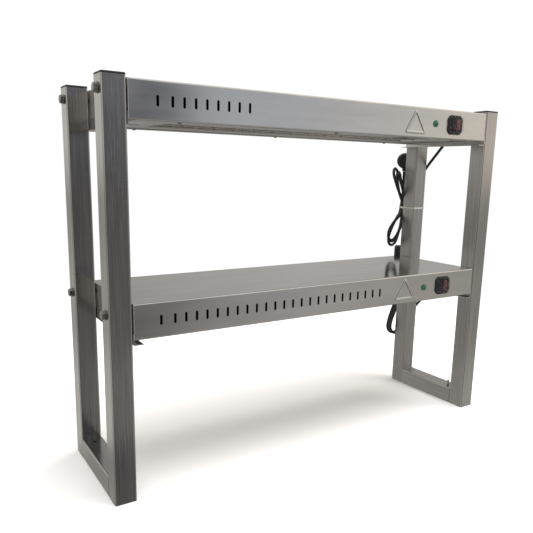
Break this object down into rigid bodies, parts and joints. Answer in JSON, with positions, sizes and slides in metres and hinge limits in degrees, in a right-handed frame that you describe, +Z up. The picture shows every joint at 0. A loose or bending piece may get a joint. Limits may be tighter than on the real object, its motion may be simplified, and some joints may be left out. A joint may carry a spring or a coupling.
{
  "type": "heat lamp warmer",
  "caption": "Two-tier heat lamp warmer: heated steel shelf boxes bolted between two U-shaped square-tube legs, each with a rocker switch, pilot lamp and mains cord.",
  "frame": {"origin": "on the surface that the legs stand on, midway between the legs and between their front and rear uprights", "axes": "+X to the right along the shelves, towards the end with the cords; +Y to the rear, away from the switches; +Z up"},
  "size_m": [0.9235, 0.3059, 0.7],
  "materials": {
    "tube_steel": "polished stainless square tube",
    "sheet_steel": "bright polished stainless sheet",
    "reflector_steel": "mirror polished reflector sheet",
    "wire_steel": "bright plated wire",
    "bolt_steel": "plain stainless fasteners",
    "black_plastic": "black moulded nylon",
    "cord_pvc": "black flexible PVC sheath",
    "rocker_plastic": "dark red lit rocker",
    "green_lens": "green lens, unlit",
    "clear_pvc": "soft clear boot",
    "quartz": "quartz tube with a coiled filament",
    "ceramic": "unglazed steatite",
    "nylon": "natural nylon"
  },
  "bodies": {
    "warmer": {"left_base_bar": "tube_steel", "left_front_upright": "tube_steel", "left_front_end_cap": "black_plastic", "left_rear_upright": "tube_steel", "left_rear_end_cap": "black_plastic", "right_base_bar": "tube_steel", "right_front_upright": "tube_steel", "right_front_end_cap": "black_plastic", "right_rear_upright": "tube_steel", "right_rear_end_cap": "black_plastic", "upper_casing": "sheet_steel", "upper_reflector_pan": "reflector_steel", "upper_heat_tube": "quartz", "upper_wire_guard": "wire_steel", "upper_terminal_block": "ceramic", "upper_pilot_lamp": "green_lens", "upper_left_end_plate": "sheet_steel", "upper_left_lamp_holder": "ceramic", "upper_left_support_angle": "sheet_steel", "upper_left_front_bolt": "bolt_steel", "upper_left_rear_bolt": "bolt_steel", "upper_right_end_plate": "sheet_steel", "upper_right_lamp_holder": "ceramic", "upper_right_support_angle": "sheet_steel", "upper_right_front_bolt": "bolt_steel", "upper_right_rear_bolt": "bolt_steel", "upper_switch_body": "black_plastic", "upper_switch_boot": "clear_pvc", "upper_cord_gland": "black_plastic", "upper_cord_lead": "cord_pvc", "upper_cord_hank": "cord_pvc", "upper_plug_lead": "cord_pvc", "upper_cable_tie": "nylon", "upper_plug": "black_plastic", "lower_casing": "sheet_steel", "lower_reflector_pan": "reflector_steel", "lower_heat_tube": "quartz", "lower_wire_guard": "wire_steel", "lower_terminal_block": "ceramic", "lower_pilot_lamp": "green_lens", "lower_left_end_plate": "sheet_steel", "lower_left_lamp_holder": "ceramic", "lower_left_support_angle": "sheet_steel", "lower_left_front_bolt": "bolt_steel", "lower_left_rear_bolt": "bolt_steel", "lower_right_end_plate": "sheet_steel", "lower_right_lamp_holder": "ceramic", "lower_right_support_angle": "sheet_steel", "lower_right_front_bolt": "bolt_steel", "lower_right_rear_bolt": "bolt_steel", "lower_switch_body": "black_plastic", "lower_switch_boot": "clear_pvc", "lower_cord_gland": "black_plastic", "lower_cord_lead": "cord_pvc", "lower_cord_hank": "cord_pvc", "lower_plug_lead": "cord_pvc", "lower_cable_tie": "nylon", "lower_plug": "black_plastic"},
    "upper_rocker": {"upper_switch_rocker": "rocker_plastic"},
    "lower_rocker": {"lower_switch_rocker": "rocker_plastic"}
  },
  "joints": [
    {"name": "upper_rocker_tilt", "type": "hinge", "parent": "warmer", "child": "upper_rocker", "pos_m": [0.31, -0.117, 0.663], "axis": [0, 0, 1], "range_deg": [0, 20]},
    {"name": "lower_rocker_tilt", "type": "hinge", "parent": "warmer", "child": "lower_rocker", "pos_m": [0.31, -0.117, 0.315], "axis": [0, 0, 1], "range_deg": [0, 20]}
  ]
}
